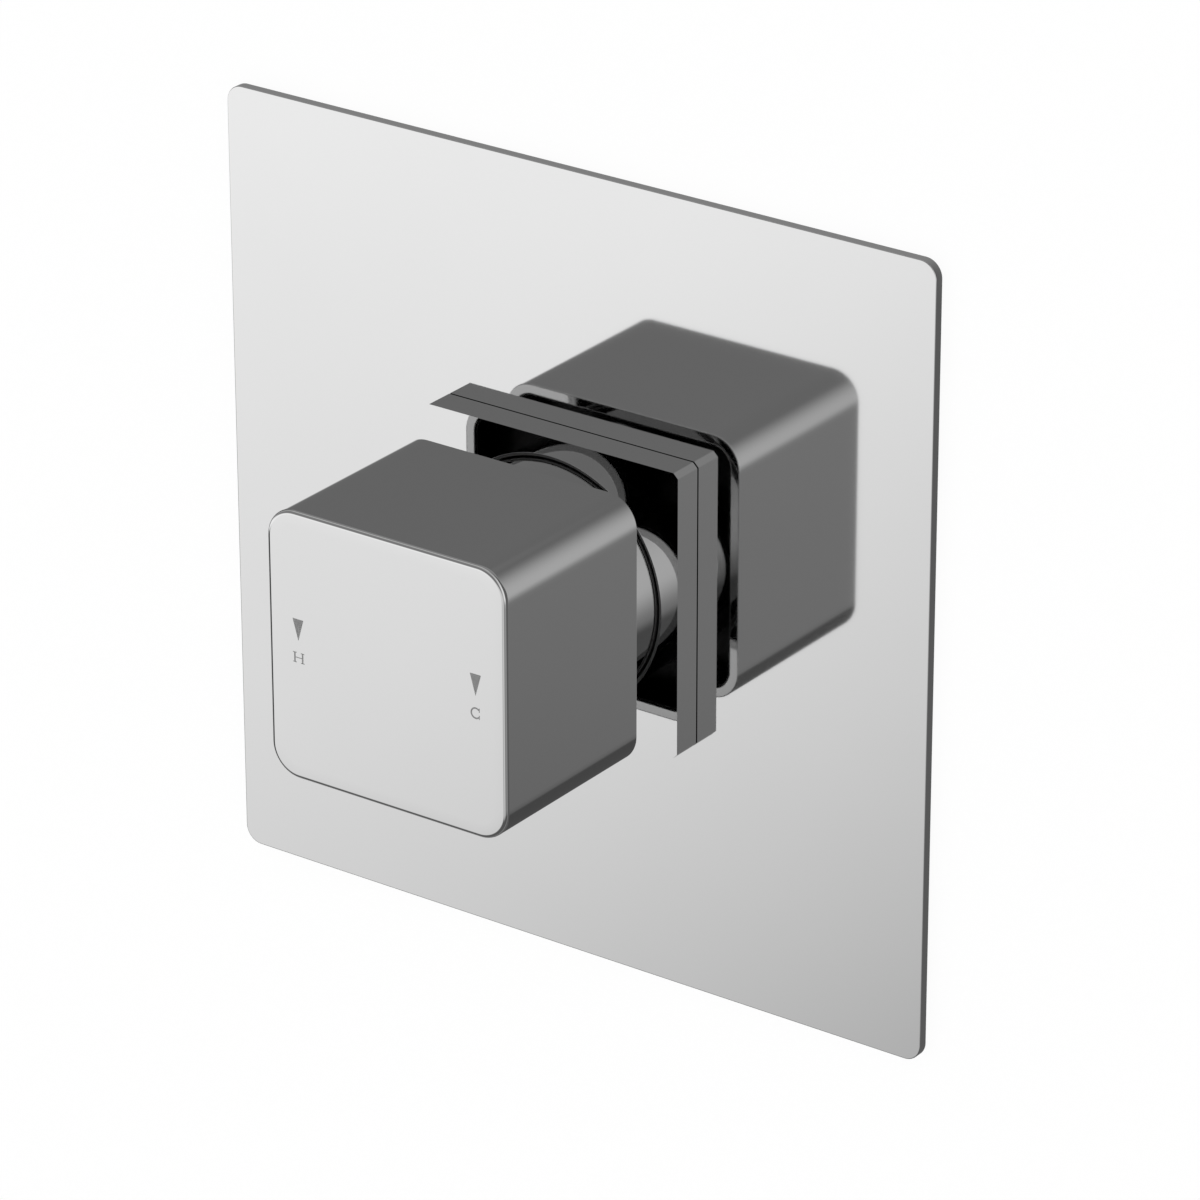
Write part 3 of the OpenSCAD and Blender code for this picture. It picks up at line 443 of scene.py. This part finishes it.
ring_front, ring_step, ring_back, lip_r, flange_r = -3.2, -1.45, -0.05, 21.9, 24.9
piece("grip_ring_moulding",
      [turned([(ring_front, lip_r), (ring_step, lip_r), (ring_step, flange_r),
               (ring_back, flange_r), (ring_back, tube_outer_r), (ring_front, tube_outer_r)],
              [0.3, 0.2, 0.5, 0.5, 0.2, 0.3])],
      rubber, "root", "black_rubber", "plate_grip_ring")


def square_outline(half, corner_r, corner_steps=16):
    """(x, z) once round a square with quarter-circle corners, or flat ones where
    corner_steps is 1. The first quarter is a corner and a side of evenly spaced points, and
    the others are that one turned by 90 degrees."""
    a = np.linspace(0, np.pi / 2, corner_steps + 1)[:, None]
    arc = half - corner_r + corner_r * np.hstack([np.cos(a), np.sin(a)])
    run = (half - corner_r) * np.linspace(1, -1, 50)[1:-1, None]
    quarter = np.concatenate([arc, np.hstack([run, np.full_like(run, half)])])
    turns = [np.array([[1, 0], [0, 1]]), np.array([[0, 1], [-1, 0]]),
             np.array([[-1, 0], [0, -1]]), np.array([[0, -1], [1, 0]])]
    return np.concatenate([quarter @ turn for turn in turns])


def squared(half, corner_r, corners, setbacks, round_beyond=np.inf, capped=False,
            corner_steps=16):
    """A profile of (inset, y) corners carried round a rounded square: each row is the
    square's outline moved inwards by its inset. A row whose inset is over round_beyond is
    a circle of radius half - inset instead, on the same bearings."""
    bearing = square_outline(half, corner_r, corner_steps)
    bearing /= np.linalg.norm(bearing, axis=1, keepdims=True)
    rows = []
    for inset, y in eased(corners, setbacks):
        flat = ((half - inset) * bearing if inset > round_beyond
                else square_outline(half - inset, max(corner_r - inset, 0.1), corner_steps))
        rows.append(np.insert(flat, 1, y, axis=1))
    return joined(np.array(rows), capped)


foam = material("closed_cell_foam")
cells = foam.node("ShaderNodeTexVoronoi", None, {"Vector": foam.place(), "Scale": 1800})
closed_foam = foam.skin(
    Base_Color=foam.blend(foam.grain(2.0), (0.07, 0.07, 0.07), (0.13, 0.13, 0.13)),
    Roughness=0.9, Normal=foam.bump(cells, 0.12))
plate_front, plate_back, plate_half, plate_corner_r = -3.5, -1.5, 80, 3.5
strip_half, strip_w = 75, 6
piece("seal_strip",
      [squared(strip_half, plate_corner_r,
               [(0, plate_back), (strip_w, plate_back), (strip_w, 0), (0, 0)], 0.45)],
      closed_foam, "root", "foam", "plate_seal")


# Wall plate
# 2 mm brass sheet, cut with a hole for the shroud, its edges just broken, then polished
# and chromed. It mirrors the knob, and it blurs what stands far from it.
def chrome(name, blur, blur_change):
    """Polished chrome: a faint cloudiness in its tint, and blur that changes by
    blur_change over a few centimetres."""
    recipe = material(name)
    haze = recipe.grain(30.0, 2.0)
    tint = recipe.blend(haze, (0.655, 0.655, 0.655), (0.668, 0.668, 0.668))
    return recipe.skin(Base_Color=tint, Metallic=1.0, Roughness=haze * blur_change + blur)


plate_hole_inset = 58.05
plate_chrome = chrome("sheet_chrome", 0.04, 0.01)
piece("wall_plate_sheet",
      [squared(plate_half, plate_corner_r,
               [(0, plate_front), (plate_hole_inset, plate_front),
                (plate_hole_inset, plate_back), (0, plate_back)],
               [0.18, 0.15, 0.15, 0.18], round_beyond=plate_hole_inset / 2)],
      plate_chrome, "root", "polished_chrome", "wall_plate")


# Flow lever plate
# A machined square plate on the flow sleeve, with a round recess for the knob's neck. A
# pale plastic disc lets it glide on the wall plate, and a thin ring wipes the neck.
lever_front, lever_back, lever_half, corner_cut = -9.9, -3.7, 29, 1.0
recess_floor, recess_inset, bore_inset = -5.5, 3.7, 19.95
pocket_floor, pocket_outer_inset, pocket_inner_inset = -3.9, 0.65, 17.75
lever_chrome = chrome("lever_chrome", 0.035, 0.01)
piece("lever_machining",
      [squared(lever_half, corner_cut,
               [(0, lever_front), (recess_inset, lever_front), (recess_inset, recess_floor),
                (bore_inset, recess_floor), (bore_inset, lever_back),
                (pocket_inner_inset, lever_back), (pocket_inner_inset, pocket_floor),
                (pocket_outer_inset, pocket_floor), (pocket_outer_inset, lever_back),
                (0, lever_back)],
               [0, 0.15, 0.1, 0.1, 0.1, 0.05, 0.03, 0.03, 0.03, 0],
               round_beyond=corner_cut / 2, corner_steps=1)],
      lever_chrome, "flow_control", "polished_chrome", "flow_lever_plate")

glide_back, glide_outer_r, glide_inner_r = -3.65, 28.3, 11.3
piece("glide_ring",
      [turned([(pocket_floor, glide_outer_r), (glide_back, glide_outer_r),
               (glide_back, glide_inner_r), (pocket_floor, glide_inner_r)], 0.06)],
      white_moulding, "flow_control", "white_plastic", "glide_disc")

wiper_front, wiper_outer_r, wiper_inner_r = -9.75, 25.2, 24.75
grey_moulding = moulded("grey_moulding", (0.045, 0.045, 0.045), (0.06, 0.06, 0.06), 0.35)
piece("wiper_lip",
      [turned([(wiper_front, wiper_outer_r), (recess_floor, wiper_outer_r),
               (recess_floor, wiper_inner_r), (wiper_front, wiper_inner_r)],
              [0.15, 0.05, 0.05, 0.15])],
      grey_moulding, "flow_control", "dark_plastic", "neck_wiper_ring")


# Knob neck
# A chromed tube that turns with the knob and hides the spindle. It stands in the knob's
# black insert, and its far end runs into the lever plate's recess.
neck_front, neck_back, neck_outer_r, neck_inner_r = -30.4, -6.1, 24.5, 22.5
knob_chrome = chrome("knob_chrome", 0.025, 0.01)
piece("neck_tube",
      [turned([(neck_front, neck_outer_r), (neck_back, neck_outer_r),
               (neck_back, neck_inner_r), (neck_front, neck_inner_r)], 0.2)],
      knob_chrome, "temperature_control", "polished_chrome", "neck_sleeve")


# Cube knob
# A die-cast shell, chromed, closed in front by a cover with a small rounding and a spigot.
# The joint between the two is lapped shut. A black insert lines the hollow back, coloured
# far darker than black plastic as painted shade, and the cover's marks are filled with grey.
knob_half, knob_corner_r, knob_wall = 27, 6.2, 2
cover_front, shell_front, web_front, web_back, shell_back = -60.38, -59.4, -58.4, -56.4, -19.9
well_inset, spigot_inset, screw_inset, screw_pocket_floor = 1.6, 1.65, 21, -59.2
face_inset, rounding = 3, 0.8
piece("knob_shell",
      [squared(knob_half, knob_corner_r,
               [(0, shell_front), (well_inset, shell_front), (well_inset, web_front),
                (screw_inset, web_front), (screw_inset, web_back), (knob_wall, web_back),
                (knob_wall, shell_back), (0, shell_back)],
               [0, 0.05, 0.05, 0.05, 0.05, 0.2, 0.2, 0.25], round_beyond=screw_inset / 2)],
      knob_chrome, "temperature_control", "polished_chrome", "knob_body")
piece("knob_front",
      [squared(knob_half, knob_corner_r,
               [(face_inset, cover_front), (0, cover_front), (0, shell_front),
                (spigot_inset, shell_front), (spigot_inset, web_front),
                (screw_inset, web_front), (screw_inset, screw_pocket_floor)],
               [0, rounding, 0, 0.05, 0.05, 0.05, 0], round_beyond=screw_inset / 2,
               capped=True)],
      knob_chrome, "temperature_control", "polished_chrome", "knob_face")

# The insert is black plastic, but its near-zero colour is painted shade for the knob's dark
# hollow
black_and_shade_lining = material("satin_black_and_painted_shade")
swirl = black_and_shade_lining.grain(8.0)
dress_node(black_and_shade_lining.skin(Base_Color=black_and_shade_lining.blend(swirl, (0.001, 0.001, 0.001),
                                               (0.003, 0.003, 0.003)),
                       Roughness=swirl * 0.1 + 0.25, Specular_IOR_Level=0.12),
           "knob_insert")
infill = material("mark_infill")
speckle = infill.grain(0.25, 2.0)
dress_node(infill.skin(Base_Color=infill.blend(speckle, (0.20, 0.20, 0.20),
                                               (0.25, 0.25, 0.25)),
                       Roughness=0.6, Normal=infill.bump(speckle, 0.01)),
           "face_marks")


# Wall, floor, room and camera
# A white wall that can't be seen from behind, so the body in it shows, and a pale floor
# half a metre below. The room is a light tent: a bright screen in front to the left, a
# softer light on the right, and dark walls round them that draw the chrome's edges.
def sheet(name, corners, finish):
    """A single face of the set, with its front on the side from which the corners run
    against the clock."""
    mesh = bpy.data.meshes.new(name)
    mesh.from_pydata(corners, [], [(0, 1, 2, 3)])
    mesh.materials.append(finish)
    made = bpy.data.objects.new(name, mesh)
    bpy.context.scene.collection.objects.link(made)
    return made


def white_paint(name):
    """Paint that is white to the camera but for a trace of shadow, and that shows nothing
    from behind. Mirrors see painted shade on it: a grey glow, darker beside the plate than
    above it."""
    paint = material(name)
    side = paint.node("ShaderNodeNewGeometry", None, None, "Backfacing")
    x, y, z = paint.axes(paint.place())
    matt = paint.node("ShaderNodeBsdfDiffuse", None, {"Color": (0.98, 0.98, 0.98)})
    lit = paint.node("ShaderNodeEmission", None, {"Color": (1, 1, 1), "Strength": 1.0})
    shown = paint.node("ShaderNodeMixShader", None, {
        0: paint.ray("Is Camera Ray") * 0.95, 1: matt, 2: lit})
    # Painted shade for mirrors: glossy rays see the wall as a grey glow, darker beside the
    # plate than above it
    above = z.rise(0.07, 0.08) * (1 - x.rise(0.076, 0.084))
    mirrored_painted_shade = paint.node("ShaderNodeEmission", None, {
        "Color": paint.blend(above, (0.14, 0.14, 0.14), (0.30, 0.30, 0.30))})
    seen = paint.node("ShaderNodeMixShader", None, {
        0: paint.ray("Is Glossy Ray"), 1: shown, 2: mirrored_painted_shade})
    clear = paint.node("ShaderNodeBsdfTransparent")
    paint.node("ShaderNodeOutputMaterial", None, {"Surface": paint.node(
        "ShaderNodeMixShader", None, {0: side, 1: seen, 2: clear})})
    return paint.owner


far, floor_z, wall_y = 3, -0.5, 0.0002
white = white_paint("white_paint")
sheet("wall", [(-far, wall_y, floor_z), (far, wall_y, floor_z), (far, wall_y, far),
               (-far, wall_y, far)], white)
floor = sheet("floor", [(-far, -far, floor_z), (far, -far, floor_z), (far, far, floor_z),
                        (-far, far, floor_z)], white)
floor.visible_glossy = False

world = bpy.data.worlds.new("room")
bpy.context.scene.world = world
room = Recipe(world)
x, y, z = room.axes(room.node("ShaderNodeTexCoord", None, None, "Generated"))
walls = z.rise(-0.52, -0.42) * 0.147 + 0.124
ceiling = z.rise(0.66, 0.76) * 0.2
side_light = z.rise(-0.53, -0.11) * x.rise(0.15, 1.05) * 0.87
screen = (((z - x * 3).rise(0.42, 1.29) * z.rise(-0.62, -0.48) * 0.683
           + z.rise(-0.52, 0.08) * 1.42) * (1 - z.rise(-0.34, 0.04)) * (1 - x.rise(-0.45, 0)))
gap = (1 - x.rise(-0.75, -0.63)) * (1 - z.rise(-0.40, -0.32))
front = (walls + ceiling + side_light + screen).at_most(1.25) * (1 - gap)
# Straight ahead the tent is bright below and dark above, and behind it brightens upwards
ahead = (1 - z.rise(-0.2, 0.15)) * (1 - x.rise(-0.5, 0.6) * 0.5) * 0.75 + 0.2
behind = z.rise(-0.6, 0.7) * 0.5 + 0.35
front = front + (1 - y.rise(-0.9, -0.81)) * (ahead - front)
glossy = front + y.rise(-0.25, 0.0) * (behind - front)
strength = room.ray("Is Glossy Ray") * (glossy - 1) + 1
room.node("ShaderNodeOutputWorld", None, {"Surface": room.node(
    "ShaderNodeBackground", None, {"Color": (1, 1, 1), "Strength": strength})})

yaw, pitch, roll = np.radians([35.773, 24.560, -0.093])
eye = (0.65563, -0.90404, 0.50274)
level = np.array([np.cos(yaw), np.sin(yaw), 0])
ahead_of_eye = np.array([-np.sin(yaw) * np.cos(pitch), np.cos(yaw) * np.cos(pitch),
                         -np.sin(pitch)])
upright = np.cross(level, ahead_of_eye)
camera = bpy.data.objects.new("camera", bpy.data.cameras.new("camera"))
bpy.context.scene.collection.objects.link(camera)
camera.data.sensor_width, camera.data.lens = 36, 195.35
camera.data.clip_start, camera.data.clip_end = 0.1, 20
axes = np.stack([np.cos(roll) * level + np.sin(roll) * upright,
                 -np.sin(roll) * level + np.cos(roll) * upright, -ahead_of_eye], 1)
camera.matrix_world = Matrix.Translation(eye) @ Matrix(axes.tolist()).to_4x4()
bpy.context.scene.camera = camera
bpy.context.scene.view_settings.view_transform = "Standard"
